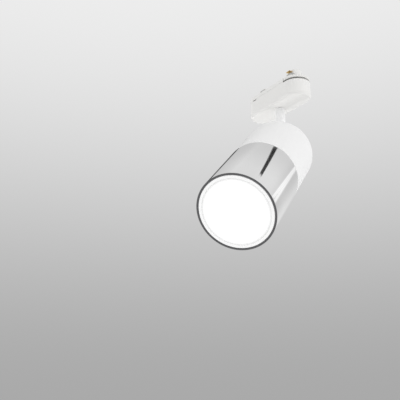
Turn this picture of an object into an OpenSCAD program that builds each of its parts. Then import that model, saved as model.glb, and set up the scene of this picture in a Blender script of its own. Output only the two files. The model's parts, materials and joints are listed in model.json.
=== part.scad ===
// Track spotlight with a long round head, in millimetres.
// Origin: where the stem's axis meets the plane of the track's underside.
// X runs along the track, Z is up. The head is drawn at its rest pan and tilt.

/* [Head] */
// Outside diameter of the head
head_d = 82; // [82:0.5:90]
// Length of the head from its flat back to the front edge
head_len = 176; // [150:1:220]
// Length of the chrome front half, with its edge ring
sleeve_len = 93; // [80:1:100]
// Wall of the white and chrome shells
shell_wall = 1.3; // [1.2:0.1:1.4]
// Rounding of the back edge
back_edge_r = 3; // [1:0.5:5]
// Width of the dark edge ring round the mouth
bezel_w = 2; // [1.9:0.1:2.1]

/* [Lamp] */
// Diameter of the disc lamp
lamp_d = 77.4; // [75:0.2:77.4]
// Depth of the lamp's body without its hub
lamp_h = 17; // [15:0.5:20]
// Distance between the lamp's two pins
pin_spacing = 53; // [52:0.5:54]
// How far the lamp's face lies behind the edge ring
lamp_recess = 0.3; // [0.2:0.1:2]
// Light emitting chips on the board's outer circle
led_count = 12; // [6:1:16]

/* [Stem and knuckle] */
// Diameter of the stem
stem_d = 12.5; // [12:0.5:13]
// Track underside to the tilt pivot
stem_drop = 80.5; // [70:0.5:120]
// Tilt pivot to the head's flat back
pivot_gap = 13; // [13:0.5:18]
// Radius of the knuckle's two discs and of its ferrule
knuckle_r = 7.5; // [7.5:0.1:8]

/* [Adapter] */
// Length of the adapter along the track, over its round ends
adapter_len = 97.5; // [97.5:0.5:120]
// Stem axis to the adapter's dial end
adapter_front = 49; // [47:0.5:49.5]
// Width of the adapter across the track, which its round ends follow
adapter_w = 34; // [34:0.5:36]
// Height of the adapter under the track
adapter_h = 26; // [24.5:0.5:30]
// Rounding of the adapter's bottom edge
edge_r = 3.2; // [0.6:0.2:4]
// Thickness of the locking dial
dial_t = 3.1; // [2.9:0.1:3.3]
// Width of the guide block, for a slot of 16 mm
guide_w = 15.4; // [15:0.1:15.6]
// Reach of the locking lug across the track, end to end
lug_len = 23; // [20:0.5:25]

/* [Rest pose] */
// Turn of the head about the stem from the X axis
rest_pan = -59.15; // [-165:0.05:165]
// Tilt of the head from straight down
rest_tilt = 50.15; // [0:0.05:90]

/* [Hidden] */
$fn = 72;

white = [0.93, 0.93, 0.92];
plastic_white = [0.90, 0.90, 0.89];
chrome = [0.75, 0.76, 0.78];
gunmetal = [0.36, 0.36, 0.37];
steel = [0.62, 0.63, 0.65];
brass = [0.80, 0.62, 0.30];
rubber = [0.12, 0.12, 0.12];
frosted = [1.0, 1.0, 0.98];
brown = [0.38, 0.20, 0.10];
blue = [0.10, 0.25, 0.60];
board_green = [0.10, 0.35, 0.20];
led_yellow = [0.95, 0.85, 0.40];

// Small gaps: still pieces that touch, turning pieces, and room to cut right through
fit_gap = 0.05;
turn_gap = 0.4;
cut = 1;

// Heights in the adapter, from the track's underside at 0
wall = 2;
floor_t = 2.5;
floor_top = -adapter_h + floor_t;
cover_t = 2;
skirt_bottom = -4.6;
rim_top = skirt_bottom - 0.15;
dial_top = -0.6;
dial_bottom = dial_top - dial_t;
dial_gap = 2.5;
ledge_top = dial_bottom - dial_gap;
ledge_bottom = ledge_top - cover_t;
adapter_back = adapter_front - adapter_len;
dial_r = adapter_w / 2;
dial_x = adapter_front - dial_r;
tail_x = adapter_back + dial_r;
step_wall = 1.8;
ledge_inset = wall + 0.1;
post_r = 2.6;
post_at = 8;
lid_pilot_r = 1.1;
lid_pilot_depth = 12;
lid_hole_r = 1.3;
lid_sink_r = 2.5;
lid_screw_r = 1.05;
lid_screw_head_r = 2.2;
lid_screw_len = 9;
guide_top = 8;
guide_ends = [-36, 8];
notch_ends = [-31.5, -25.5];
notch_depth = 1.4;

// Earth clip: its sheet's middle stands earth_off from the guide block, with barbs above the lips
earth_x = -27;
earth_len = 9;
earth_t = 0.6;
earth_off = 0.4;
barb_low = 2.6;
barb_tip = 3.4;
barb_high = 6;
barb_out = 2;

// Dial: a hollow cap, with a spindle below and a column above in the track's slot
dial_wall = 1.8;
dial_skin = 1.2;
flute_r = 1.3;
flute_out = 0.6;
flute_step = 12;
flute_span = 54;
spindle_r = 5;
groove_r = spindle_r - 1;
spindle_end = ledge_bottom - 2.7;
clip_top = ledge_bottom - 0.4;
clip_t = 0.8;
clip_r = 7.4;
clip_mouth = 3.2;
column_r = 7.2;
column_top = 11.5;
column_bore_r = 3;
lug_bottom = 2.3;
lug_t = 3;
lug_w = 10;
tongue_z = 8;
tongue_t = 0.8;
tongue_w = 6;
tongue_reach = 11.3;
tail_y = 1.6;
tail_w = 2.4;
bead_r = 0.8;

// Terminal block inside the adapter, and the slots of small screws
terminal_ends = [tail_x - 4.5, tail_x + 12.5];
terminal_half = 8;
terminal_bottom = floor_top + 0.2;
terminal_screws_x = [terminal_ends[0] + 4, terminal_ends[1] - 4];
terminal_y = 4;
terminal_top = floor_top + 10;
terminal_seat = floor_top + 5.1;
terminal_screw_r = 1.9;
terminal_wire_z = floor_top + 3.5;
terminal_wire_r = 1.3;
slot_w = 0.6;

// Swivel at the stem's top
stem_r = stem_d / 2;
neck_r = 5.25;
stem_bore_r = 4;
bush_r = 6.1;
flange_r = 10.5;
flange_t = 1.5;
washer_t = 0.6;
washer_r = 9;
stop_t = 1.2;
stop_r = 10;
stop_reach = 13.6;
stop_w = 3;
peg_r = 1.4;
peg_x = 12.8;
nut_t = 3.8;
nut_corner_r = 10;
flange_top = floor_top + flange_t;
washer_z = flange_top + 0.1;
stop_z = washer_z + washer_t + 0.1;
nut_z = stop_z + stop_t + 0.05;
stem_top = nut_z + nut_t + 0.6;
stem_shoulder = -adapter_h - fit_gap;
cable_r = 1.8;
lead_r = 0.9;
lead_sides = 8;
lead_steps = 6;
lead_side = [0, 1, 0.2];
lead_y = 3;
lead_z = -11.2;

// Knuckle, measured from the tilt pivot with the stem upward
lap_gap = 0.5;
lap_clear = knuckle_r + 0.5;
socket_floor = 12;
ferrule_top = 26;
wire_y = 3.6;
wire_r = 1.9;
recess_r = 5.6;
recess_in = 2.8;
recess_y = 3.8;
screw_r = 2;
screw_head_r = 3.5;
screw_head_t = 2.4;
screw_key_r = 1.5;
screw_end = knuckle_r + 4.2;
spring_washer_t = 0.8;
spring_washer_y = knuckle_r + 0.15;
screw_seat = spring_washer_y + spring_washer_t + 0.1;
tilt_nut_r = 4;
tilt_nut_t = 3.2;
friction_out = knuckle_r - 0.2;
friction_in = recess_r + 0.3;
foot_r = 11;
foot_t = 3.5;
foot_skin = 0.8;
foot_screw_x = 6;
foot_screw_r = 1.25;
foot_screw_head_r = 2.5;
foot_screw_head_t = 2;

// Stations along the head, from the pivot towards the front, below zero
head_r = head_d / 2;
bore_r = head_r - shell_wall;
z_back = -pivot_gap;
back_t = 2.5;
z_inside = z_back - back_t;
z_round = z_back - back_edge_r;
z_seam = z_back - (head_len - sleeve_len);
z_front = z_back - head_len;
seam_chamfer = 0.3;
grommet_r = wire_r + 1.25;
grommet_t = 1.5;
grommet_flange_r = wire_r + 2.4;
grommet_half = foot_screw_x - foot_screw_head_r - 0.2;
bezel_t = 0.8;
bezel_spigot = 8;
bezel_edge_r = 0.4;
spigot_r = lamp_d / 2 + 0.35;
join_reach = 8;
join_t = 2;

// Lamp and its holder
lamp_r = lamp_d / 2;
lamp_face = z_front + lamp_recess;
lamp_back = lamp_face + lamp_h;
lamp_wall = 2;
lamp_lip = 3;
lamp_edge_r = 0.3;
diffuser_r = lamp_r - lamp_lip - 0.2;
diffuser_t = 2;
diffuser_inset = 0.1;
diffuser_edge_r = 0.5;
hub_r = 18.5;
hub_h = 9;
pin_r = pin_spacing / 2;
pin_neck_r = 1.6;
pin_neck_h = 4;
pin_head_r = 2.75;
pin_head_h = 2.4;
board_t = 1.5;
board_z = lamp_back - lamp_wall - 0.1;
board_r = lamp_r - lamp_lip - 1;
board_hole_r = 3;
led_circles = [14, 25];
led_size = [2.8, 3.5, 0.78];
led_gap = 0.02;
driver_r = hub_r - lamp_wall - 1;
driver_t = 1.4;
driver_z = lamp_back + 5;
capacitor_x = 7;
capacitor_r = 3.5;
capacitor_h = 4.5;
coil_low = [-11, -5, driver_z - 3.5];
coil_high = [-2, 5, driver_z + driver_t / 2];
holder_gap = 0.5;
holder_front = lamp_back + holder_gap;
holder_t = 13.7;
holder_back = holder_front + holder_t;
holder_r = 33;
holder_skin = 2.2;
twist = 15;
slot_half = pin_neck_r + 0.35;
keyhole_r = pin_head_r + 0.45;
pocket_half = 3.4;
pocket_back = holder_front + 10.7;
spring_z = lamp_back + pin_neck_h + pin_head_h + turn_gap;
spring_t = 0.8;
plate_t = 2;
plate_back = holder_back + plate_t;
plate_r = bore_r - 0.2;
plate_hole_r = 10;
plate_window_r = 5;
shelf_t = 3;
shelf_r = bore_r - 2.5;
rod_r = 2;
rod_at = 30;
boss_r = 4.5;
boss_end = z_inside - 8;
rod_end = z_inside - 1.7;
rod_nut_t = 3.2;
rod_nut_r = 4;
tail_end = plate_back + 2.5;
tail_hole_r = 2;
tail_half_t = 0.4;
tail_half_w = 1.2;
leaf_half = 2;
leaf_spare = 3;
holder_screw_turn = 45;
holder_screw_r = 1.25;
holder_screw_head_r = 2.9;
holder_screw_head_t = 2;
holder_screw_seat = holder_front + 4;

// Placing: the knuckle's and stem's frame at the pivot, the head's frame, and the dial's frame
module at_pivot() { translate([0, 0, -stem_drop]) rotate([0, 0, rest_pan]) children(); }
module at_head() { at_pivot() rotate([0, -rest_tilt, 0]) children(); }
module at_dial() { translate([dial_x, 0, 0]) children(); }
module pair(at) { for (side = [-1, 1]) translate([side * at[0], side * at[1], 0]) children(); }

// Plain shapes between two heights
module rod(r, low, high) { translate([0, 0, low]) cylinder(r = r, h = high - low); }
module ring(r_out, r_in, low, high) {
    difference() {
        rod(r_out, low, high);
        rod(r_in, low - cut, high + cut);
    }
}
module block(low, high) { translate(low) cube(high - low); }
module slab(low, high) { translate([0, 0, low]) linear_extrude(high - low) children(); }
module across(r, from, to) { translate([0, to, 0]) rotate([90, 0, 0]) cylinder(r = r, h = to - from); }
module hex_nut(corner_r, hole_r, low, high) {
    difference() {
        translate([0, 0, low]) cylinder(r = corner_r, h = high - low, $fn = 6);
        rod(hole_r, low - cut, high + cut);
    }
}
// A bent strip of metal, drawn as its edge: one outline with a mitre at each bend
function normal(p, i) = let (run = unit(p[i + 1] - p[i])) [-run[1], run[0]];
function mitre(p, i, d) = let (a = normal(p, max(i - 1, 0)), b = normal(p, min(i, len(p) - 2)))
    p[i] + d * (a + b) / (1 + a * b);
module strip(points, t) {
    last = len(points) - 1;
    polygon([for (i = [0 : last]) mitre(points, i, t / 2),
        for (i = [last : -1 : 0]) mitre(points, i, -t / 2)]);
}

// A wire through hand-placed points: a smooth curve with a ring of corners at each step
function unit(v) = v / norm(v);
function blend(a, b, c, d, t) = 0.5 * (2 * b + (c - a) * t + (2 * a - 5 * b + 4 * c - d) * t * t
    + (3 * b - a - 3 * c + d) * t * t * t);
function smooth(p) = [for (i = [0 : len(p) - 2], j = [0 : lead_steps - 1])
        blend(p[max(i - 1, 0)], p[i], p[i + 1], p[min(i + 2, len(p) - 1)], j / lead_steps), p[len(p) - 1]];
function heading(p, i) = unit(p[min(i + 1, len(p) - 1)] - p[max(i - 1, 0)]);
function corner(c, t, k) = let (u = unit(cross(t, lead_side)), v = cross(t, u), a = 360 * k / lead_sides)
    c + lead_r * (cos(a) * u + sin(a) * v);
module wire(points) {
    path = smooth(points);
    last = len(path) - 1;
    n = lead_sides;
    corners = [for (i = [0 : last], k = [0 : n - 1]) corner(path[i], heading(path, i), k)];
    walls = [for (i = [0 : last - 1], k = [0 : n - 1]) let (a = i * n + k, b = i * n + (k + 1) % n)
        each [[a, b, a + n], [b, b + n, a + n]]];
    near = [for (k = [1 : n - 2]) [0, k + 1, k]];
    far = [for (k = [1 : n - 2]) [last * n, last * n + k, last * n + k + 1]];
    polyhedron(corners, concat(walls, near, far));
}

// Adapter outline seen from above, with its round ends, drawn in by inset
module plan(inset) {
    r = adapter_w / 2 - inset;
    translate([tail_x, -r]) square([dial_x - tail_x, 2 * r]);
    for (x = [tail_x, dial_x]) translate([x, 0]) circle(r = r);
}
// Room for the dial: its circle and all that lies beyond it, grown by extra
module dial_room(extra) {
    translate([dial_x, 0]) circle(r = dial_r + turn_gap + extra);
    translate([dial_x, -adapter_w]) square([adapter_w, 2 * adapter_w]);
}
// The whole body up to its rim, with a rounded bottom edge
module soft_body() {
    z1 = -adapter_h + edge_r;
    y1 = adapter_w / 2 - edge_r;
    slab(z1, rim_top) plan(0);
    slab(-adapter_h, z1 + cut) plan(edge_r);
    for (y = [-y1, y1]) translate([tail_x, y, z1]) rotate([0, 90, 0])
        cylinder(r = edge_r, h = dial_x - tail_x);
    for (x = [tail_x, dial_x]) translate([x, 0, z1]) rotate_extrude()
        translate([y1, 0]) circle(r = edge_r);
}
// The four lid screws: two on the lid's high part, two on its low part under the dial
module at_lid_screws() {
    for (y = [-post_at, post_at]) {
        translate([tail_x - post_at, y, 0]) children();
        translate([dial_x + post_at, y, ledge_top]) children();
    }
}
module countersunk(shank_r, head_r, length) {
    rod(shank_r, -length, 0);
    translate([0, 0, shank_r - head_r]) cylinder(r1 = shank_r, r2 = head_r, h = head_r - shank_r);
}

module adapter_body() color(plastic_white) {
    difference() {
        union() {
            difference() {
                soft_body();
                slab(floor_top, cut) plan(wall);
            }
            intersection() {
                at_lid_screws() rod(post_r, -adapter_h, -cover_t);
                slab(floor_top - cut, 0) plan(wall);
            }
            translate([-peg_x, 0, 0]) rod(peg_r, floor_top - cut, nut_z);
        }
        slab(ledge_top, cut) dial_room(0);
        rod(bush_r + fit_gap, -adapter_h - cut, floor_top + cut);
        block([notch_ends[0], -adapter_w, rim_top - notch_depth], [notch_ends[1], adapter_w, cut]);
        at_lid_screws() rod(lid_pilot_r, -lid_pilot_depth, cut);
    }
}
// Lid: a skirted plate that meets the body's rim, and a low ledge under the dial, joined by a curved step
module adapter_cover() color(plastic_white) difference() {
    union() {
        slab(-cover_t, 0) difference() {
            plan(0);
            dial_room(0);
        }
        slab(skirt_bottom, cut - cover_t) difference() {
            plan(0);
            plan(wall);
            dial_room(0);
        }
        slab(ledge_bottom, ledge_top) intersection() {
            plan(ledge_inset);
            dial_room(step_wall);
        }
        slab(ledge_bottom, 0) difference() {
            intersection() {
                plan(ledge_inset);
                dial_room(step_wall);
            }
            dial_room(0);
        }
        block([guide_ends[0], -guide_w / 2, -cut], [guide_ends[1], guide_w / 2, guide_top]);
    }
    block([guide_ends[0] + wall, wall - guide_w / 2, -cover_t - cut],
        [guide_ends[1] - wall, guide_w / 2 - wall, guide_top - wall]);
    at_dial() rod(spindle_r + fit_gap, ledge_bottom - cut, ledge_top + cut);
    at_lid_screws() countersunk(lid_hole_r, lid_sink_r, 2 * cover_t);
}
module cover_screws() color(steel) at_lid_screws() difference() {
    countersunk(lid_screw_r, lid_screw_head_r, lid_screw_len);
    block([-lid_screw_head_r, -slot_w / 2, -slot_w], [lid_screw_head_r, slot_w / 2, cut]);
}
// One sprung strip over the guide block, with a barb each side that snaps over the track's lips
module earth_clip() color(steel) {
    half = guide_w / 2 + earth_off;
    edge = [[half + earth_off, barb_low],
        [half + barb_out, barb_tip],
        [half, barb_high],
        [half, guide_top + earth_off]];
    whole = concat(edge, [for (i = [len(edge) - 1 : -1 : 0]) [-edge[i][0], edge[i][1]]]);
    translate([earth_x, 0, 0]) rotate([90, 0, 90]) linear_extrude(earth_len) strip(whole, earth_t);
}
// Two poles side by side, each with a wire hole along X and a clamp screw at either end
module at_terminals() {
    for (x = terminal_screws_x, y = [-terminal_y, terminal_y]) translate([x, y, 0]) children();
}
module terminal_block() color(white) difference() {
    block([terminal_ends[0], -terminal_half, terminal_bottom],
        [terminal_ends[1], terminal_half, terminal_top]);
    at_terminals() rod(terminal_screw_r + fit_gap, terminal_seat - fit_gap, cut);
    for (y = [-terminal_y, terminal_y]) translate([terminal_ends[0] - cut, y, terminal_wire_z])
        rotate([0, 90, 0]) cylinder(r = terminal_wire_r, h = terminal_ends[1] - terminal_ends[0] + 2 * cut);
}
module terminal_screws() color(brass) at_terminals() difference() {
    rod(terminal_screw_r, terminal_seat, terminal_top - 1);
    block([-terminal_screw_r, -slot_w / 2, terminal_top - 2], [terminal_screw_r, slot_w / 2, terminal_top]);
}
module swivel_bush() color(plastic_white) {
    ring(bush_r, neck_r + fit_gap, -adapter_h, floor_top + flange_t / 2);
    ring(flange_r, neck_r + fit_gap, floor_top, flange_top);
}
// From the dial's contact tail to the terminal block, over the swivel
module adapter_lead(side) {
    wire([[dial_x - 2, side * 1.5, spindle_end - 1.6],
        [dial_x - 12, side * lead_y, lead_z],
        [-8, side * lead_y, lead_z],
        [terminal_ends[1] + 3.5, side * terminal_y, terminal_wire_z],
        [terminal_ends[1], side * terminal_y, terminal_wire_z],
        [terminal_ends[1] - 7, side * terminal_y, terminal_wire_z]]);
}
module live_lead() color(brown) adapter_lead(1);
module neutral_lead() color(blue) adapter_lead(-1);

module lock_dial() color(white) at_dial() difference() {
    union() {
        rod(dial_r, dial_bottom, dial_top);
        rod(column_r, dial_top - cut, column_top);
        rod(spindle_r, spindle_end, dial_top);
    }
    for (a = [-flute_span : flute_step : flute_span]) rotate([0, 0, a]) translate([dial_r + flute_out, 0, 0])
        rod(flute_r, dial_bottom - cut, dial_top + cut);
    ring(dial_r - dial_wall, spindle_r + dial_wall, dial_bottom - cut, dial_top - dial_skin);
    rod(column_bore_r, spindle_end - cut, column_top - wall);
    block([-lug_w / 2 - fit_gap, -2 * column_r, lug_bottom - fit_gap],
        [lug_w / 2 + fit_gap, 2 * column_r, lug_bottom + lug_t + fit_gap]);
    for (turn = [0, 180]) rotate([0, 0, turn])
        block([-tongue_w / 2 - fit_gap, tail_y, tongue_z - fit_gap],
            [tongue_w / 2 + fit_gap, 2 * column_r, tongue_z + tongue_t + fit_gap]);
    difference() {
        rod(spindle_r + cut, clip_top - clip_t - fit_gap, clip_top + fit_gap);
        rod(groove_r, clip_top - 2 * clip_t, clip_top + clip_t);
    }
}
module lock_lug() color(steel) at_dial() difference() {
    intersection() {
        rod(lug_len / 2, lug_bottom, lug_bottom + lug_t);
        block([-lug_w / 2, -lug_len, 0], [lug_w / 2, lug_len, column_top]);
    }
    rod(column_bore_r, 0, column_top);
}
// A tongue that reaches the conductor, and a tail down the dial's hollow spindle
module contact() {
    block([-tongue_w / 2, tail_y, tongue_z], [tongue_w / 2, tongue_reach, tongue_z + tongue_t]);
    block([-tail_w / 2, tail_y, spindle_end + clip_t],
        [tail_w / 2, tail_y + tongue_t, tongue_z + tongue_t / 2]);
    translate([0, tongue_reach, tongue_z + tongue_t / 2]) rotate([0, 90, 0])
        cylinder(r = bead_r, h = tongue_w, center = true);
}
module live_contact() color(brass) at_dial() contact();
module neutral_contact() color(brass) at_dial() rotate([0, 0, 180]) contact();
module dial_clip() color(steel) at_dial() difference() {
    ring(clip_r, groove_r + fit_gap, clip_top - clip_t, clip_top);
    block([0, -clip_mouth, clip_top - 2 * clip_t], [2 * clip_r, clip_mouth, clip_top + clip_t]);
}

module stem_tube() color(white) difference() {
    union() {
        rod(stem_r, socket_floor - stem_drop, stem_shoulder);
        rod(neck_r, stem_shoulder - cut, stem_top);
    }
    rod(stem_bore_r, -stem_drop, stem_top + cut);
}
module swivel_washer() color(rubber) ring(washer_r, neck_r + fit_gap, washer_z, washer_z + washer_t);
module stop_washer() color(steel) rotate([0, 0, rest_pan]) difference() {
    union() {
        rod(stop_r, stop_z, stop_z + stop_t);
        block([0, -stop_w / 2, stop_z], [stop_reach, stop_w / 2, stop_z + stop_t]);
    }
    rod(neck_r + fit_gap, stop_z - cut, stop_z + stop_t + cut);
}
module swivel_nut() color(steel) hex_nut(nut_corner_r, neck_r + fit_gap, nut_z, nut_z + nut_t);
module stem_cable() color(white) rod(cable_r, socket_floor + 0.3 - stem_drop, stem_top + 0.4);

// Each half has a ring-shaped hollow round the screw, where the wires cross from one to the other
module wire_hollow(from, to) {
    difference() {
        across(recess_r, from, to);
        across(recess_in, from - cut, to + cut);
    }
}
module knuckle_upper() color(white) at_pivot() difference() {
    union() {
        rod(knuckle_r, lap_clear, ferrule_top);
        intersection() {
            rod(knuckle_r, 0, lap_clear + cut);
            block([-knuckle_r, lap_gap, 0], [knuckle_r, knuckle_r, lap_clear + cut]);
        }
        across(knuckle_r, lap_gap, knuckle_r);
    }
    rod(stem_r + fit_gap, socket_floor, ferrule_top + cut);
    translate([0, wire_y, 0]) rod(wire_r, (recess_in + recess_r) / 2, socket_floor + cut);
    wire_hollow(lap_gap - cut, recess_y);
    across(screw_r + fit_gap, -cut, knuckle_r + cut);
}
module knuckle_lower() color(white) at_head() difference() {
    union() {
        rod(foot_r, z_back, z_back + foot_t);
        block([-knuckle_r, -knuckle_r, z_back + cut], [knuckle_r, -lap_gap, 0]);
        across(knuckle_r, -knuckle_r, -lap_gap);
    }
    translate([0, -wire_y, 0]) rod(wire_r, z_back - cut, -(recess_in + recess_r) / 2);
    wire_hollow(-recess_y, cut - lap_gap);
    across(screw_r + fit_gap, -knuckle_r - cut, cut);
    pair([foot_screw_x, 0]) rod(foot_screw_r + fit_gap, z_back - cut, z_back + foot_t - foot_skin);
}
module friction_washer() color(rubber) at_head() difference() {
    across(friction_out, -lap_gap, lap_gap - 2 * fit_gap);
    across(friction_in, -cut, cut);
}
module tilt_screw() color(steel) at_head() {
    across(screw_r, -screw_end, screw_seat + screw_head_t / 4);
    difference() {
        across(screw_head_r, screw_seat, screw_seat + screw_head_t);
        translate([0, screw_seat + screw_head_t / 2, 0]) rotate([-90, 0, 0])
            cylinder(r = screw_key_r, h = screw_head_t, $fn = 6);
    }
}
module spring_washer() color(steel) at_head() difference() {
    across(screw_head_r, spring_washer_y, spring_washer_y + spring_washer_t);
    across(screw_r + fit_gap, knuckle_r - cut, screw_seat + cut);
}
module tilt_nut() color(steel) at_head() translate([0, -knuckle_r - fit_gap, 0]) rotate([90, 0, 0])
    hex_nut(tilt_nut_r, screw_r + fit_gap, 0, tilt_nut_t);
module knuckle_screws() color(steel) at_head() pair([foot_screw_x, 0]) difference() {
    union() {
        rod(foot_screw_r, z_inside - foot_screw_head_t / 2, z_back + foot_t - cut);
        rod(foot_screw_head_r, z_inside - foot_screw_head_t, z_inside);
    }
    block([-slot_w / 2, -foot_screw_head_r, z_inside - foot_screw_head_t - cut],
        [slot_w / 2, foot_screw_head_r, z_inside - foot_screw_head_t + slot_w]);
}

module rear_housing() color(white) at_head() difference() {
    union() {
        rotate_extrude() difference() {
            union() {
                translate([0, z_seam + seam_chamfer]) square([head_r, z_round - z_seam - seam_chamfer]);
                translate([0, z_seam]) square([head_r - seam_chamfer, 2 * seam_chamfer]);
                translate([0, z_round - cut]) square([head_r - back_edge_r, back_edge_r + cut]);
                translate([head_r - back_edge_r, z_round]) circle(r = back_edge_r);
            }
            translate([-cut, z_seam - cut]) square([bore_r + cut, z_inside - z_seam + cut]);
            translate([-head_r, z_seam - cut]) square([head_r, head_len]);
        }
        pair([0, rod_at]) rod(boss_r, boss_end, z_inside + cut);
    }
    pair([0, rod_at]) rod(rod_r + fit_gap, boss_end - cut, rod_end + 2 * fit_gap);
    pair([foot_screw_x, 0]) rod(foot_screw_r + 2 * fit_gap, z_inside - cut, z_back + cut);
    translate([0, -wire_y, 0]) rod(grommet_r + fit_gap, z_inside - cut, z_back + cut);
}
module cable_grommet() color(rubber) at_head() translate([0, -wire_y, 0]) difference() {
    union() {
        rod(grommet_r, z_inside - grommet_t / 2, z_back - fit_gap);
        intersection() {
            rod(grommet_flange_r, z_inside - grommet_t, z_inside - fit_gap);
            block([-grommet_half, -head_r, z_front], [grommet_half, head_r, z_back]);
        }
    }
    rod(wire_r, z_front, z_back + cut);
}
module joining_ring() color(steel) at_head()
    ring(bore_r - fit_gap, bore_r - join_t, z_seam - join_reach, z_seam + join_reach);
module chrome_sleeve() color(chrome) at_head() {
    end = z_front + bezel_t;
    difference() {
        union() {
            rod(head_r, end, z_seam - seam_chamfer);
            rod(head_r - seam_chamfer, end, z_seam);
        }
        rod(bore_r, end - cut, z_seam + cut);
    }
    ring(bore_r + cut / 2, shelf_r, plate_back, plate_back + shelf_t);
}
// Edge ring with a rounded lip, and a spigot that plugs into the sleeve
module front_bezel() color(gunmetal) at_head() rotate_extrude() {
    inner = head_r - bezel_w;
    translate([inner, z_front + bezel_edge_r]) square([bezel_w, bezel_t - bezel_edge_r]);
    translate([inner + bezel_edge_r, z_front]) square([bezel_w - 2 * bezel_edge_r, bezel_t]);
    for (r = [inner + bezel_edge_r, head_r - bezel_edge_r]) translate([r, z_front + bezel_edge_r])
        circle(r = bezel_edge_r);
    translate([spigot_r, z_front + bezel_t / 2])
        square([bore_r - fit_gap - spigot_r, bezel_spigot + bezel_t / 2]);
}
module holder_plate() color(steel) at_head() difference() {
    rod(plate_r, holder_back, plate_back);
    rod(plate_hole_r, holder_back - cut, plate_back + cut);
    pair([0, rod_at]) rod(rod_r + fit_gap, holder_back - cut, plate_back + cut);
    pair([pin_r, 0]) rod(plate_window_r, holder_back - cut, plate_back + cut);
    at_holder_screws() rod(holder_screw_r + fit_gap, holder_back - cut, plate_back + cut);
}
module tie_rods() color(steel) at_head() pair([0, rod_at]) rod(rod_r, holder_back, rod_end);
module tie_rod_nuts() color(steel) at_head() pair([0, rod_at])
    hex_nut(rod_nut_r, rod_r + fit_gap, plate_back, plate_back + rod_nut_t);

module at_holder_screws() { rotate([0, 0, holder_screw_turn]) pair([pin_r, 0]) children(); }
// A slot that follows the pins' circle from the locked place to the release place
module twist_slot(half, low, high) {
    room = asin(half / pin_r);
    rotate([0, 0, -twist - room]) rotate_extrude(angle = twist + 2 * room)
        translate([pin_r - half, low]) square([2 * half, high - low]);
}
module lampholder() color(white) at_head() difference() {
    rod(holder_r, holder_front, holder_back);
    rod(hub_r + 0.7, holder_front - cut, holder_back + cut);
    for (turn = [0, 180]) rotate([0, 0, turn]) {
        twist_slot(slot_half, holder_front - cut, holder_front + holder_skin + cut);
        rotate([0, 0, -twist]) translate([pin_r, 0, 0])
            rod(keyhole_r, holder_front - cut, holder_front + holder_skin + cut);
        twist_slot(pocket_half, holder_front + holder_skin, pocket_back);
        translate([pin_r, 0, 0]) rod(tail_hole_r, pocket_back - cut, holder_back + cut);
    }
    at_holder_screws() {
        rod(holder_screw_r + 4 * fit_gap, holder_front - cut, holder_back + cut);
        rod(holder_screw_head_r + 4 * fit_gap, holder_front - cut, holder_screw_seat);
    }
}
// A sprung leaf under each pin's path, and a tail through the holder's back
module holder_contacts() color(brass) at_head() for (turn = [0, 180]) rotate([0, 0, turn]) {
    rotate([0, 0, -twist - leaf_spare]) rotate_extrude(angle = twist + 2 * leaf_spare)
        translate([pin_r - leaf_half, spring_z]) square([2 * leaf_half, spring_t]);
    translate([pin_r, 0, 0])
        block([-tail_half_t, -tail_half_w, spring_z + spring_t / 2], [tail_half_t, tail_half_w, tail_end]);
}
module holder_screws() color(steel) at_head() at_holder_screws() {
    front = holder_screw_seat - holder_screw_head_t;
    difference() {
        union() {
            rod(holder_screw_r, front + holder_screw_head_t / 2, plate_back + plate_t);
            rod(holder_screw_head_r, front, holder_screw_seat);
        }
        block([-slot_w / 2, -holder_screw_head_r, front - cut],
            [slot_w / 2, holder_screw_head_r, front + slot_w]);
    }
}
// From the knuckle's hollow through the grommet to the holder's tail
module head_lead(side) {
    wire([[side * 0.95, -wire_y, z_back + 4],
        [side * 0.95, -wire_y, z_back - 1],
        [side * 0.95, -wire_y, z_inside - 2],
        [side * 1.4, -wire_y, z_inside - 9],
        [side * 3, -5, z_inside - 19],
        [side * 9, -10, z_inside - 40],
        [side * 16, -11, z_inside - 90],
        [side * 24, -3, tail_end + 13],
        [side * pin_r, 0, tail_end + 0.3]]);
}
module head_live_lead() color(brown) at_head() head_lead(1);
module head_neutral_lead() color(blue) at_head() head_lead(-1);

module lamp_base() color(white) at_head() difference() {
    union() {
        rod(lamp_r, lamp_face + lamp_edge_r, lamp_back);
        rod(lamp_r - lamp_edge_r, lamp_face, lamp_back);
        rotate_extrude() translate([lamp_r - lamp_edge_r, lamp_face + lamp_edge_r]) circle(r = lamp_edge_r);
        rod(hub_r, lamp_back - cut, lamp_back + hub_h);
    }
    rod(lamp_r - lamp_lip, lamp_face - cut, lamp_back - lamp_wall);
    rod(hub_r - lamp_wall, lamp_face, lamp_back + hub_h - lamp_wall);
    pair([pin_r, 0]) rod(pin_neck_r + fit_gap, lamp_face, lamp_back + cut);
}
module lamp_pins() color(steel) at_head() pair([pin_r, 0]) {
    rod(pin_neck_r, lamp_back - lamp_wall, lamp_back + pin_neck_h + cut);
    rod(pin_head_r, lamp_back + pin_neck_h, lamp_back + pin_neck_h + pin_head_h);
}
module lamp_diffuser() color(frosted) at_head() {
    front = lamp_face + diffuser_inset;
    rod(diffuser_r - diffuser_edge_r, front, lamp_face + diffuser_t);
    rod(diffuser_r, front + diffuser_edge_r, lamp_face + diffuser_t);
    rotate_extrude() translate([diffuser_r - diffuser_edge_r, front + diffuser_edge_r])
        circle(r = diffuser_edge_r);
}
module led_board() color(board_green) at_head()
    ring(board_r, board_hole_r, board_z - board_t, board_z);
module led_circle(r, count) {
    for (i = [0 : count - 1]) rotate([0, 0, 360 * (i + 0.5) / count])
        translate([r, 0, board_z - board_t - led_gap - led_size[2] / 2]) cube(led_size, center = true);
}
module leds() color(led_yellow) at_head() {
    led_circle(led_circles[0], floor(led_count / 2));
    led_circle(led_circles[1], led_count);
}
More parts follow.
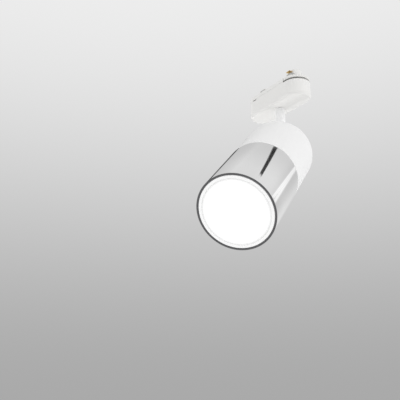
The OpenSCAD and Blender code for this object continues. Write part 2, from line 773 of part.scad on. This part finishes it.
module lamp_driver() color(board_green) at_head() {
    rod(driver_r, driver_z, driver_z + driver_t);
    translate([capacitor_x, 0, 0]) rod(capacitor_r, driver_z - capacitor_h, driver_z + driver_t / 2);
    block(coil_low, coil_high);
}

adapter_body();
adapter_cover();
cover_screws();
earth_clip();
terminal_block();
terminal_screws();
swivel_bush();
live_lead();
neutral_lead();
lock_dial();
lock_lug();
live_contact();
neutral_contact();
dial_clip();
stem_tube();
swivel_nut();
stop_washer();
swivel_washer();
stem_cable();
knuckle_upper();
knuckle_lower();
tilt_screw();
tilt_nut();
spring_washer();
friction_washer();
knuckle_screws();
rear_housing();
cable_grommet();
joining_ring();
chrome_sleeve();
front_bezel();
holder_plate();
tie_rods();
tie_rod_nuts();
lampholder();
holder_contacts();
holder_screws();
head_live_lead();
head_neutral_lead();
lamp_base();
lamp_pins();
lamp_diffuser();
led_board();
leds();
lamp_driver();
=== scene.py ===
"""Looks of a ceiling track spotlight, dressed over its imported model, in metres and in the same frame."""

import json
import math

import bmesh
import bpy
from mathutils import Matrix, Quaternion, Vector


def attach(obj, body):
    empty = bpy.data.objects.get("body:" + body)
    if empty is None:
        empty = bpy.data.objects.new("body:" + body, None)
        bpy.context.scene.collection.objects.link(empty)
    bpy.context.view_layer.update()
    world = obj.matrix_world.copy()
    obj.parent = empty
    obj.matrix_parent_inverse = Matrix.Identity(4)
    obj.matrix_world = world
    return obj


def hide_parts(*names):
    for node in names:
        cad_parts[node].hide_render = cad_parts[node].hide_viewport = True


MM = 0.001

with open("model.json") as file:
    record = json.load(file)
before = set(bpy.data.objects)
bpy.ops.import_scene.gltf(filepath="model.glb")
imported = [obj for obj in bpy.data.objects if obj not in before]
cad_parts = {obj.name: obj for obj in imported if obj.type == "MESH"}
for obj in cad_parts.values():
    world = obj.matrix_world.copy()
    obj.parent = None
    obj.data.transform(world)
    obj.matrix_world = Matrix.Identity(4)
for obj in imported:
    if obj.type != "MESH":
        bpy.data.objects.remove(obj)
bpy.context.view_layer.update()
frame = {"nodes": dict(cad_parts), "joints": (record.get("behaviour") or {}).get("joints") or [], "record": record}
nodes = frame["nodes"]

# The head's own frame: the tilt pivot, and the direction that the lamp shines in
joints = {joint["name"]: joint for joint in frame["joints"]}
PIVOT = Vector(joints["tilt"]["pos_m"])
BEAM = Vector(joints["lamp_twist"]["axis"]).normalized()
HEAD_TURN = BEAM.to_track_quat("Z", "Y").to_euler()


def along_beam(name):
    """Where a node starts and ends along the beam, measured from the pivot, and its largest radius."""
    offsets = [v.co - PIVOT for v in nodes[name].data.vertices]
    depths = [o.dot(BEAM) for o in offsets]
    radius = max((o - d * BEAM).length for o, d in zip(offsets, depths))
    return min(depths), max(depths), radius


# Shader building blocks

def blank(name):
    """A new material, its node tree and its surface shader."""
    material = bpy.data.materials.new(name)
    material.use_nodes = True
    tree = material.node_tree
    return material, tree, tree.nodes["Principled BSDF"]


def add(tree, kind, inputs=None, **settings):
    """A shader node. An input is a plain value, or a socket to link."""
    made = tree.nodes.new("ShaderNode" + kind)
    for key, value in settings.items():
        setattr(made, key, value)
    for key, value in (inputs or {}).items():
        if isinstance(value, bpy.types.NodeSocket):
            tree.links.new(value, made.inputs[key])
        else:
            made.inputs[key].default_value = value
    return made


def place(tree, stretch=(1, 1, 1)):
    """The point on the piece, in metres, stretched for textures that run one way."""
    here = add(tree, "TexCoord").outputs["Object"]
    return add(tree, "Mapping", {"Vector": here, "Scale": stretch}).outputs[0]


def head_place(tree, stretch=(1, 1, 1)):
    """The point in the head's frame, with Z along the beam."""
    here = add(tree, "TexCoord").outputs["Object"]
    turned = add(tree, "Mapping", {"Vector": here, "Location": PIVOT, "Rotation": HEAD_TURN},
                 vector_type="TEXTURE").outputs[0]
    return add(tree, "Mapping", {"Vector": turned, "Scale": stretch}).outputs[0]


def noise(tree, where, scale, detail=2.0):
    return add(tree, "TexNoise", {"Vector": where, "Scale": scale, "Detail": detail}).outputs["Fac"]


def cells(tree, where, scale):
    return add(tree, "TexVoronoi", {"Vector": where, "Scale": scale}).outputs["Distance"]


def spread(tree, value, low, high, start=0.3, end=0.7):
    """A texture's middle range, mapped from low to high."""
    inputs = {"Value": value, "From Min": start, "From Max": end, "To Min": low, "To Max": high}
    return add(tree, "MapRange", inputs, interpolation_type="SMOOTHSTEP").outputs[0]


def mixed(tree, share, first, second):
    """Two colours, mixed by a texture."""
    made = add(tree, "Mix", {0: share}, data_type="RGBA")
    made.inputs[6].default_value = (*first, 1)
    made.inputs[7].default_value = (*second, 1)
    return made.outputs[2]


def bumped(tree, height, depth, below=None):
    """A surface normal from a height texture of that depth in metres, laid over another bump."""
    inputs = {"Height": height, "Strength": 1.0, "Distance": depth}
    if below is not None:
        inputs["Normal"] = below
    return add(tree, "Bump", inputs).outputs[0]


def shade(colour, factor):
    return tuple(c * factor for c in colour)


# Materials

# Plated metal: the share of its colour at the back, where painted shade darkens it, and how much smudges count in
# it
PAINTED_BACK_SHADE = 0.815
SMUDGE_SHARE = 0.3
# Lit cover: its glow at the rim, and the share of its radius where the glow starts to fall
RIM_GLOW = 0.08
RIM_START = 0.78


def powder_coat(name, colour):
    """Satin powder coat: orange peel, a fine grain, and faint clouds in colour and gloss."""
    material, tree, shader = blank(name)
    cloud = noise(tree, place(tree), scale=28, detail=3)
    peel = noise(tree, place(tree), scale=900, detail=2)
    grain = noise(tree, place(tree), scale=5200, detail=1)
    normal = bumped(tree, grain, 0.004 * MM, bumped(tree, peel, 0.012 * MM))
    tree.links.new(mixed(tree, cloud, shade(colour, 0.975), colour), shader.inputs["Base Color"])
    tree.links.new(spread(tree, cloud, 0.34, 0.42), shader.inputs["Roughness"])
    tree.links.new(normal, shader.inputs["Normal"])
    return material


def moulded_plastic(name, colour, roughness=0.42, glow=0.0):
    """Injection-moulded plastic: spark-eroded grain, flow clouds, and a little light let through."""
    material, tree, shader = blank(name)
    flow = noise(tree, place(tree, (1, 2.5, 2.5)), scale=40, detail=4)
    grain = cells(tree, place(tree), scale=2600)
    tree.links.new(mixed(tree, flow, shade(colour, 0.965), colour), shader.inputs["Base Color"])
    tree.links.new(spread(tree, flow, roughness - 0.05, roughness + 0.06), shader.inputs["Roughness"])
    tree.links.new(bumped(tree, grain, 0.006 * MM), shader.inputs["Normal"])
    if glow:
        shader.inputs["Emission Color"].default_value = (1, 1, 1, 1)
        shader.inputs["Emission Strength"].default_value = glow
    return material


def polished_metal(name, node, colour, dull=0.02, smudged=0.07):
    """Plated metal: painted light makes it brighter towards the mouth, with faint polishing lines
    round the head, and smudges that dull the mirror a little."""
    material, tree, shader = blank(name)
    back, mouth, _ = along_beam(node)
    smudge = noise(tree, head_place(tree), scale=34, detail=4)
    lines = noise(tree, head_place(tree, (30, 30, 5000)), scale=1, detail=2)
    depth = add(tree, "SeparateXYZ", {0: head_place(tree)}).outputs[2]
    # Painted light: the colour is painted darker at the back and brightens towards the mouth
    painted_mouth_light = spread(tree, depth, 0, 1, start=back, end=mouth)
    shares = {0: smudge, 1: SMUDGE_SHARE, 2: painted_mouth_light}
    bright = add(tree, "Math", shares, operation="MULTIPLY_ADD").outputs[0]
    tree.links.new(mixed(tree, bright, shade(colour, PAINTED_BACK_SHADE), colour), shader.inputs["Base Color"])
    tree.links.new(spread(tree, smudge, dull, smudged), shader.inputs["Roughness"])
    tree.links.new(bumped(tree, lines, 0.00012 * MM), shader.inputs["Normal"])
    shader.inputs["Metallic"].default_value = 1.0
    return material


def turned_metal(name, colour):
    """Bare turned metal: clear tool rings about the beam and uneven gloss."""
    material, tree, shader = blank(name)
    cloud = noise(tree, head_place(tree), scale=60, detail=3)
    rings = noise(tree, head_place(tree, (12, 12, 3600)), scale=1, detail=3)
    tree.links.new(mixed(tree, rings, shade(colour, 0.86), colour), shader.inputs["Base Color"])
    tree.links.new(spread(tree, cloud, 0.24, 0.36), shader.inputs["Roughness"])
    tree.links.new(bumped(tree, rings, 0.004 * MM), shader.inputs["Normal"])
    shader.inputs["Metallic"].default_value = 1.0
    return material


def zinc_plate(name, colour, tarnish):
    """Zinc-plated steel: small spangles, a passivated tint in patches, dull satin gloss."""
    material, tree, shader = blank(name)
    patch = noise(tree, place(tree), scale=240, detail=3)
    spangle = cells(tree, place(tree), scale=1500)
    tree.links.new(mixed(tree, spread(tree, patch, 0, 1), colour, tarnish), shader.inputs["Base Color"])
    tree.links.new(spread(tree, spangle, 0.24, 0.4, start=0.1, end=0.6), shader.inputs["Roughness"])
    tree.links.new(bumped(tree, spangle, 0.003 * MM), shader.inputs["Normal"])
    shader.inputs["Metallic"].default_value = 1.0
    return material


def drawn_brass(name, colour, tarnish):
    """Brass strip: drawing lines along the sheet and brown tarnish in patches."""
    material, tree, shader = blank(name)
    patch = noise(tree, place(tree), scale=180, detail=4)
    lines = noise(tree, place(tree, (900, 900, 90)), scale=1, detail=2)
    stained = spread(tree, patch, 0, 1, start=0.45, end=0.8)
    tree.links.new(mixed(tree, stained, colour, tarnish), shader.inputs["Base Color"])
    tree.links.new(spread(tree, patch, 0.2, 0.38), shader.inputs["Roughness"])
    tree.links.new(bumped(tree, lines, 0.003 * MM), shader.inputs["Normal"])
    shader.inputs["Metallic"].default_value = 1.0
    return material


def rubber(name, colour):
    """Black rubber: a dusty bloom and a rough moulded skin."""
    material, tree, shader = blank(name)
    bloom = noise(tree, place(tree), scale=320, detail=4)
    skin = noise(tree, place(tree), scale=2400, detail=2)
    tree.links.new(mixed(tree, bloom, colour, shade(colour, 1.9)), shader.inputs["Base Color"])
    tree.links.new(spread(tree, bloom, 0.62, 0.85), shader.inputs["Roughness"])
    tree.links.new(bumped(tree, skin, 0.02 * MM), shader.inputs["Normal"])
    return material


def insulation(name, colour):
    """Extruded wire insulation: slightly wavy, with a soft waxy gloss."""
    material, tree, shader = blank(name)
    wave = noise(tree, place(tree), scale=260, detail=3)
    tree.links.new(mixed(tree, wave, shade(colour, 0.85), colour), shader.inputs["Base Color"])
    tree.links.new(spread(tree, wave, 0.3, 0.45), shader.inputs["Roughness"])
    tree.links.new(bumped(tree, wave, 0.05 * MM), shader.inputs["Normal"])
    return material


def circuit_board(name, mask, copper):
    """Solder mask over copper lands, which show through as a paler pattern with raised edges."""
    material, tree, shader = blank(name)
    bricks = add(tree, "TexBrick", {"Vector": head_place(tree), "Scale": 160.0, "Mortar Size": 0.06},
                 offset=0.5)
    land = bricks.outputs["Fac"]
    speck = noise(tree, head_place(tree), scale=900, detail=2)
    tree.links.new(mixed(tree, land, copper, mask), shader.inputs["Base Color"])
    tree.links.new(spread(tree, speck, 0.25, 0.4), shader.inputs["Roughness"])
    tree.links.new(bumped(tree, land, 0.03 * MM), shader.inputs["Normal"])
    return material


def phosphor(name, colour, glow=0.8):
    """Cast phosphor over a chip: grainy yellow, softly lit."""
    material, tree, shader = blank(name)
    grain = noise(tree, place(tree), scale=4000, detail=2)
    tree.links.new(mixed(tree, grain, shade(colour, 0.9), colour), shader.inputs["Base Color"])
    tree.links.new(spread(tree, grain, 0.35, 0.5), shader.inputs["Roughness"])
    shader.inputs["Emission Color"].default_value = (*colour, 1)
    shader.inputs["Emission Strength"].default_value = glow
    return material


def lit_diffuser(name, colour):
    """Frosted cover lit from behind: full white, dimmer towards its rim, with a sandblasted skin."""
    material, tree, shader = blank(name)
    radius = along_beam("lamp_diffuser")[2]
    axes = add(tree, "SeparateXYZ", {0: head_place(tree)})
    flat = add(tree, "CombineXYZ", {0: axes.outputs[0], 1: axes.outputs[1]})
    reach = add(tree, "VectorMath", {0: flat.outputs[0]}, operation="LENGTH").outputs["Value"]
    frost = noise(tree, place(tree), scale=3000, detail=2)
    tree.links.new(mixed(tree, frost, shade(colour, 0.96), colour), shader.inputs["Base Color"])
    tree.links.new(spread(tree, frost, 0.45, 0.6), shader.inputs["Roughness"])
    tree.links.new(bumped(tree, frost, 0.006 * MM), shader.inputs["Normal"])
    glow = spread(tree, reach, 1.0, RIM_GLOW, start=RIM_START * radius, end=radius)
    tree.links.new(glow, shader.inputs["Emission Strength"])
    shader.inputs["Emission Color"].default_value = (1, 1, 1, 1)
    return material


WHITE_COAT = (0.83, 0.83, 0.83)
# A lighter copy of the white coat for the stem and upper knuckle: painted light
STEM_COAT_PAINTED_LIGHTER = (0.90, 0.90, 0.90)
WHITE_PLASTIC = (0.805, 0.80, 0.785)
DARK_EDGE = (0.145, 0.145, 0.15)
MATERIALS = {
    "adapter_plastic": moulded_plastic("moulded white", WHITE_PLASTIC),
    "terminal_plastic": moulded_plastic("terminal white", shade(WHITE_PLASTIC, 0.9), roughness=0.36),
    "white_coat": powder_coat("white powder coat", WHITE_COAT),
    "chrome": polished_metal("chrome plate", "chrome_sleeve", (0.835, 0.835, 0.835)),
    "dark_chrome": polished_metal("dark polished edge", "front_bezel", DARK_EDGE, dull=0.12, smudged=0.2),
    "bare_aluminium": turned_metal("turned aluminium", (0.66, 0.67, 0.68)),
    "steel": zinc_plate("zinc plate", (0.56, 0.57, 0.59), (0.50, 0.49, 0.42)),
    "brass": drawn_brass("brass strip", (0.74, 0.52, 0.22), (0.36, 0.22, 0.08)),
    "rubber": rubber("black rubber", (0.018, 0.018, 0.018)),
    "cable_sheath": insulation("white sheath", (0.72, 0.72, 0.70)),
    "lead_brown": insulation("brown insulation", (0.12, 0.045, 0.018)),
    "lead_blue": insulation("blue insulation", (0.02, 0.07, 0.32)),
    "lamp_plastic": moulded_plastic("lamp white", WHITE_COAT, roughness=0.4, glow=0.2),
    "diffuser": lit_diffuser("lit frosted cover", (0.86, 0.86, 0.86)),
    "circuit_board": circuit_board("circuit board", (0.012, 0.10, 0.035), (0.05, 0.22, 0.06)),
    "led_chip": phosphor("phosphor", (0.80, 0.60, 0.12)),
}
slots = {part["node"]: part["material_slot"] for part in frame["record"]["subparts"]}
finish = {name: MATERIALS[slot] for name, slot in slots.items()}
# The stem and upper knuckle get a lighter copy of the head's white coat: painted light
stem_coat_painted_lighter = powder_coat("stem powder coat painted lighter", STEM_COAT_PAINTED_LIGHTER)
for name in ("stem_tube", "knuckle_upper"):
    finish[name] = stem_coat_painted_lighter
for name, material in finish.items():
    nodes[name].data.materials.clear()
    nodes[name].data.materials.append(material)


# Soft edges: each of these pieces is its node again, with its sharp edges rounded to this width in mm

EDGE_ROUND = {
    "adapter_body": 0.4, "adapter_cover": 0.35, "lock_dial": 0.35, "lock_lug": 0.35,
    "live_contact": 0.12, "neutral_contact": 0.12, "earth_clip": 0.1, "cover_screws": 0.12,
    "stem_tube": 0.12, "knuckle_upper": 0.4, "knuckle_lower": 0.4,
    "tilt_screw": 0.35, "tilt_nut": 0.3, "spring_washer": 0.12,
}
# Points within WELD metres are one, faces within FLAT are one, and edges past SHARP are rounded
WELD = 1e-6
FLAT = math.radians(0.2)
SHARP = math.radians(28)
ROUND_STEPS = 3
bodies = frame["record"]["behaviour"]["bodies"]
body_of = {name: body for body, members in bodies.items() for name in members}


def softened(name, width):
    """A copy of a node with its sharp edges rounded to that width, standing for the node."""
    shape = bmesh.new()
    shape.from_mesh(nodes[name].data)
    bmesh.ops.remove_doubles(shape, verts=shape.verts, dist=WELD)
    bmesh.ops.dissolve_limit(shape, angle_limit=FLAT, verts=shape.verts, edges=shape.edges)
    sharp = [e for e in shape.edges if e.is_manifold and e.calc_face_angle() > SHARP]
    bmesh.ops.bevel(shape, geom=sharp, offset=width, offset_type="OFFSET", segments=ROUND_STEPS,
                    profile=0.5, affect="EDGES", clamp_overlap=True)
    for face in shape.faces:
        face.smooth = True
    mesh = bpy.data.meshes.new(name + "_soft")
    shape.to_mesh(mesh)
    shape.free()
    piece = bpy.data.objects.new(name + "_soft", mesh)
    bpy.context.scene.collection.objects.link(piece)
    mesh.materials.append(finish[name])
    piece.modifiers.new("even normals", "WEIGHTED_NORMAL")
    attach(piece, body_of[name])
    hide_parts(name)


for name, width in EDGE_ROUND.items():
    softened(name, width * MM)


# Stage: pale floor far below, a grey backdrop, soft lamps, and cards that only mirrors see

FLOOR_Z = -0.95
FLOOR_HALF = 40.0
# The backdrop's grey goes from LOW at the horizon to HIGH at RISE, and straight overhead it dims to TOP
BACKDROP_LOW = 0.40
BACKDROP_HIGH = 0.86
BACKDROP_RISE = 0.66
BACKDROP_TOP = 0.945
BACKDROP_TOP_FROM = 0.80
BACKDROP_TOP_TO = 0.90
AMBIENT = 0.94
# The lamps face AIM and light a cone of LAMP_SPREAD
AIM = Vector((0.05, -0.06, -0.13))
LAMP_SPREAD = math.radians(80)

# Camera: lens in mm on a 36 mm frame, looking up at the head from below
CAMERA_PLACE = (0.5524, -0.4703, -0.3857)
CAMERA_AZIMUTH = math.radians(57.5)
CAMERA_ELEVATION = math.radians(18.5)
CAMERA_LENS = 57.24
CHROME_RADIUS = along_beam("chrome_sleeve")[2]


def quad(name, corners, material):
    """A four-cornered sheet of the studio, with UV from 0 to 1 across it and along it."""
    mesh = bpy.data.meshes.new(name)
    mesh.from_pydata(corners, [], [(0, 1, 2, 3)])
    mesh.materials.append(material)
    layer = mesh.uv_layers.new(name="sheet")
    for loop, place_on_sheet in zip(layer.data, [(0, 0), (0, 1), (1, 1), (1, 0)]):
        loop.uv = place_on_sheet
    made = bpy.data.objects.new(name, mesh)
    bpy.context.scene.collection.objects.link(made)
    return made


def floor():
    material, tree, shader = blank("pale floor")
    cloud = noise(tree, place(tree), scale=1.5, detail=4)
    tree.links.new(mixed(tree, cloud, (0.78, 0.78, 0.78), (0.82, 0.82, 0.82)), shader.inputs["Base Color"])
    shader.inputs["Roughness"].default_value = 0.8
    h = FLOOR_HALF
    quad("floor", [(-h, -h, FLOOR_Z), (h, -h, FLOOR_Z), (h, h, FLOOR_Z), (-h, h, FLOOR_Z)], material)


def backdrop():
    """Even light for the surfaces, and a grey backdrop, paler upwards, for the camera and for mirrors."""
    world = bpy.data.worlds.new("studio")
    bpy.context.scene.world = world
    world.use_nodes = True
    tree = world.node_tree
    height = add(tree, "SeparateXYZ", {0: add(tree, "TexCoord").outputs["Generated"]}).outputs[2]
    grey = spread(tree, height, BACKDROP_LOW, BACKDROP_HIGH, 0.0, BACKDROP_RISE)
    overhead = spread(tree, height, 1.0, BACKDROP_TOP, BACKDROP_TOP_FROM, BACKDROP_TOP_TO)
    seen = add(tree, "Background", {"Color": grey, "Strength": overhead})
    light = tree.nodes["Background"]
    light.inputs["Color"].default_value = (1, 1, 1, 1)
    light.inputs["Strength"].default_value = AMBIENT
    rays = add(tree, "LightPath").outputs
    direct = add(tree, "Math", {0: rays["Is Camera Ray"], 1: rays["Is Glossy Ray"]}, operation="MAXIMUM")
    shown = add(tree, "Math", {0: direct.outputs[0], 1: rays["Is Transmission Ray"]}, operation="MAXIMUM")
    mix = add(tree, "MixShader", {0: shown.outputs[0], 1: light.outputs[0], 2: seen.outputs[0]})
    tree.links.new(mix.outputs[0], tree.nodes["World Output"].inputs["Surface"])


def soft_lamp(name, at, size, power):
    """A square lamp that faces the object, spills little past it, and isn't seen, even in mirrors."""
    data = bpy.data.lights.new(name, "AREA")
    data.shape = "SQUARE"
    data.size = size
    data.energy = power
    data.spread = LAMP_SPREAD
    lamp = bpy.data.objects.new(name, data)
    lamp.location = at
    lamp.rotation_euler = (AIM - Vector(at)).to_track_quat("-Z", "Y").to_euler()
    lamp.visible_camera = False
    lamp.visible_glossy = False
    bpy.context.scene.collection.objects.link(lamp)


def edge_fade(tree, along, fade):
    """1 in the middle of a sheet, falling to 0 at both of its edges over that share of its size."""
    off = add(tree, "Math", {0: along, 1: 0.5}, operation="SUBTRACT").outputs[0]
    apart = add(tree, "Math", {0: off}, operation="ABSOLUTE").outputs[0]
    return spread(tree, apart, 1.0, 0.0, 0.5 - fade, 0.5)


def mirrored(turn, depth, reach):
    """What the camera sees mirrored in one spot of the chrome, at that reach in metres from the spot.

    turn is the spot's angle round the head, in degrees from the side nearest the camera. depth is its
    distance along the beam from the pivot, in mm.
    """
    eye = Vector(CAMERA_PLACE)
    to_eye = eye - PIVOT
    near = (to_eye - to_eye.dot(BEAM) * BEAM).normalized()
    normal = Quaternion(BEAM, math.radians(turn)) @ near
    spot = PIVOT + depth * MM * BEAM + CHROME_RADIUS * normal
    return spot + reach * (spot - eye).normalized().reflect(normal)


def card(name, corner, end, side, glow, fade):
    """A card that only mirrors see: one corner, and where its length and its width from there end.

    glow is its brightness at the two ends of its length. fade is the share of its width, and of its length,
    over which its edges fade out.
    """
    material, tree, shader = blank(name)
    tree.nodes.remove(shader)
    axes = add(tree, "SeparateXYZ", {0: add(tree, "TexCoord").outputs["UV"]}).outputs
    shares = [edge_fade(tree, axis, share) for axis, share in zip(axes, fade)]
    solid = add(tree, "Math", {0: shares[0], 1: shares[1]}, operation="MULTIPLY").outputs[0]
    clear = add(tree, "BsdfTransparent").outputs[0]
    level = add(tree, "MapRange", {"Value": axes[1], "To Min": glow[0], "To Max": glow[1]}).outputs[0]
    bright = add(tree, "Emission", {"Strength": level}).outputs[0]
    mix = add(tree, "MixShader", {0: solid, 1: clear, 2: bright}).outputs[0]
    tree.links.new(mix, tree.nodes["Material Output"].inputs["Surface"])
    corner, end, side = Vector(corner), Vector(end), Vector(side)
    made = quad(name, [corner, end, end + side - corner, side], material)
    made.visible_camera = False
    made.visible_diffuse = False
    made.visible_shadow = False


def camera():
    data = bpy.data.cameras.new("camera")
    data.lens = CAMERA_LENS
    cam = bpy.data.objects.new("camera", data)
    cam.location = CAMERA_PLACE
    level = math.cos(CAMERA_ELEVATION)
    across, away = -math.sin(CAMERA_AZIMUTH) * level, math.cos(CAMERA_AZIMUTH) * level
    look = Vector((across, away, math.sin(CAMERA_ELEVATION)))
    cam.rotation_euler = look.to_track_quat("-Z", "Y").to_euler()
    bpy.context.scene.collection.objects.link(cam)
    bpy.context.scene.camera = cam


floor()
backdrop()
camera()
soft_lamp("key", (1.42, 0.46, 0.18), size=0.9, power=1.06)
soft_lamp("low front", (0.35, -0.81, -0.73), size=0.4, power=0.17)
soft_lamp("low back", (0.19, 0.64, -0.76), size=0.5, power=0.40)
soft_lamp("low side", (-1.0, -0.08, -0.55), size=0.18, power=0.57)
soft_lamp("low left", (-0.78, -0.61, -0.60), size=0.5, power=0.22)
# On the chrome: a dark streak, a shaded side, a bright band that fans out, a pale side and a dark edge
card("streak card", mirrored(6.7, 89, 0.45), mirrored(0.2, 179, 0.54), mirrored(13.8, 98, 0.43),
     glow=(0.04, 0.05), fade=(0.15, 0.06))
card("shade card", (-0.150, 0.314, 0.603), (-0.525, 0.490, 0.173), (-0.380, -0.240, 0.577),
     glow=(0.80, 0.55), fade=(0.25, 0.2))
card("bright card", mirrored(-30.2, 88, 1.0), mirrored(-30.7, 195, 1.0), mirrored(-39.3, 93, 1.0),
     glow=(1.18, 1.06), fade=(0.4, 0.1))
card("bright fan card", mirrored(-31.2, 82, 1.0), mirrored(-25.2, 199, 1.02), mirrored(-39.2, 97, 1.0),
     glow=(1.18, 1.06), fade=(0.3, 0.1))
card("pale card", (-0.756, 0.346, 0.308), (0.060, 0.836, 0.308), (-0.812, 0.448, -0.178),
     glow=(0.70, 0.92), fade=(0.2, 0.5))
card("edge card", mirrored(84.8, 41, 0.50), mirrored(83.1, 237, 0.51), mirrored(66.6, 65, 0.52),
     glow=(0.02, 0.15), fade=(0.2, 0.1))
bpy.context.scene.view_settings.view_transform = "Standard"
